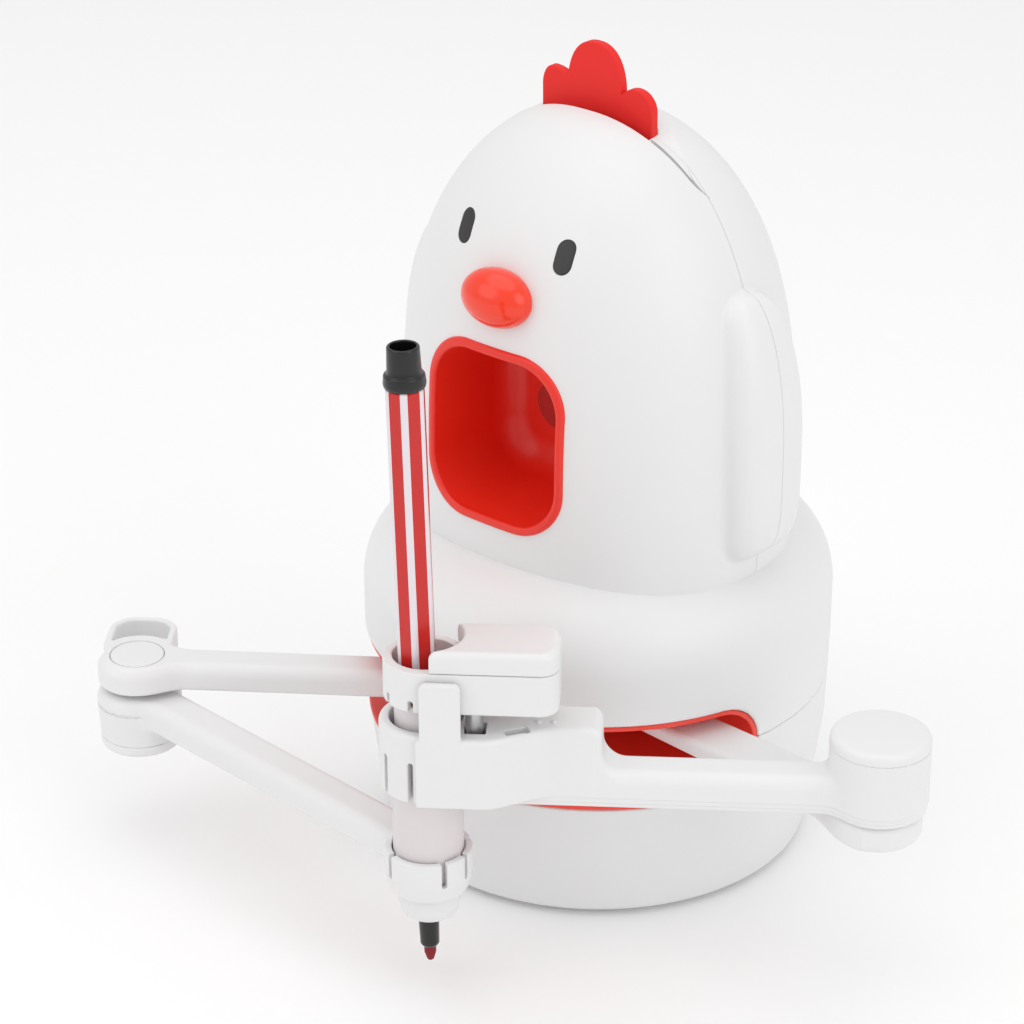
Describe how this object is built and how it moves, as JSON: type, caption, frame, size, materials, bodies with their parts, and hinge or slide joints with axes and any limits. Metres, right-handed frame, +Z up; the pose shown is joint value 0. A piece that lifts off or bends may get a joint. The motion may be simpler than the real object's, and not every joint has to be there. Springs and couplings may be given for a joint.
{
  "type": "desktop drawing robot arm",
  "caption": "White desktop drawing robot: a round base with a chick's head over it, and a parallel arm linkage from a red slot that holds a felt pen upright.",
  "frame": {"origin": "on the floor, under the centre of the round base, at the bottom of the central foot", "axes": "+Z up, the robot faces -Y, its own left is +X"},
  "size_m": [0.2129, 0.1557, 0.2036],
  "materials": {
    "white_shell": "satin moulded plastic",
    "red_trim": "glossy red plastic",
    "dark_eye": "dark plastic inlay",
    "scan_window": "glossy tinted plastic",
    "rubber": "rubber",
    "steel": "brushed",
    "motor_metal": "brushed",
    "brass": "turned",
    "tube_plastic": "satin, slightly translucent",
    "pen_red": "red with white stripes along its edges",
    "pen_black": "glossy black",
    "pen_felt": "ink-soaked felt",
    "ink_core": "ink-soaked fibre",
    "board": "solder mask",
    "battery": "shrink wrap",
    "speaker": "moulded",
    "usb_metal": "plated",
    "button": "satin"
  },
  "bodies": {
    "base": {"base_lower_shell": "white_shell", "base_upper_shell": "white_shell", "slot_liner": "red_trim", "bottom_cover": "white_shell", "rubber_feet": "rubber", "cover_screws": "steel", "lower_motor": "motor_metal", "upper_motor": "motor_metal", "motor_screws": "steel", "head_front_shell": "white_shell", "head_back_shell": "white_shell", "left_eye": "dark_eye", "right_eye": "dark_eye", "mouth_tray": "red_trim", "scan_window": "scan_window", "beak": "red_trim", "comb": "red_trim", "comb_channel": "white_shell", "neck_plate": "white_shell", "neck_screws": "steel", "main_board": "board", "scanner_board": "board", "battery_pack": "battery", "speaker": "speaker", "usb_socket": "usb_metal", "button_switch": "board"},
    "left_upper_arm": {"left_upper_arm": "white_shell", "left_elbow_cover": "white_shell", "left_elbow_pin": "steel", "left_drive_shaft": "steel"},
    "right_upper_arm": {"right_upper_arm": "white_shell", "right_elbow_pin": "steel", "right_drive_shaft": "steel"},
    "left_forearm": {"left_forearm": "white_shell", "left_hub_cap": "white_shell", "left_elbow_bush": "brass"},
    "right_forearm": {"right_forearm": "white_shell", "right_hub_cap": "white_shell", "right_elbow_bush": "brass", "lift_motor": "motor_metal", "clamp_cover": "white_shell", "clamp_studs": "white_shell"},
    "lift_carriage": {"lift_housing": "white_shell", "lift_lid": "white_shell", "lift_rod": "steel", "pen_tube": "tube_plastic", "pen_nozzle": "tube_plastic"},
    "pen": {"pen_barrel": "pen_red", "pen_end_plug": "pen_black", "pen_tip_holder": "pen_black", "pen_felt_tip": "pen_felt", "pen_ink_core": "ink_core"},
    "power_button": {"power_button": "button"}
  },
  "joints": [
    {"name": "arm_swing", "type": "hinge", "parent": "base", "child": "left_upper_arm", "pos_m": [0, -0.0193, 0.0447], "axis": [0, 0, 1], "range_deg": [-33, 1]},
    {"name": "arm_spread", "type": "hinge", "parent": "left_upper_arm", "child": "right_upper_arm", "pos_m": [0, -0.0193, 0.0447], "axis": [0, 0, 1], "range_deg": [-80, 1]},
    {"name": "left_elbow", "type": "hinge", "parent": "left_upper_arm", "child": "left_forearm", "pos_m": [-0.08181, -0.08072, 0.04], "axis": [0, 0, 1], "range_deg": [-80, 1]},
    {"name": "right_elbow", "type": "hinge", "parent": "right_upper_arm", "child": "right_forearm", "pos_m": [0.10218, -0.0243, 0.05], "axis": [0, 0, 1], "range_deg": [-1, 80]},
    {"name": "pen_lift", "type": "slide", "parent": "right_forearm", "child": "lift_carriage", "axis": [0, 0, 1], "range_m": [-0.0044, 0]},
    {"name": "pen_pull", "type": "slide", "parent": "lift_carriage", "child": "pen", "axis": [-0.0171, -0.0149, 0.9997], "range_m": [0, 0.14]},
    {"name": "button_press", "type": "slide", "parent": "base", "child": "power_button", "axis": [0, -1, 0], "range_m": [0, 0.0008], "stiffness_N_per_m": 600, "springref_m": -0.001}
  ],
  "couplings": [
    {"joint": "left_elbow", "follows": "arm_spread", "ratio": 1},
    {"joint": "right_elbow", "follows": "arm_spread", "ratio": -1}
  ]
}
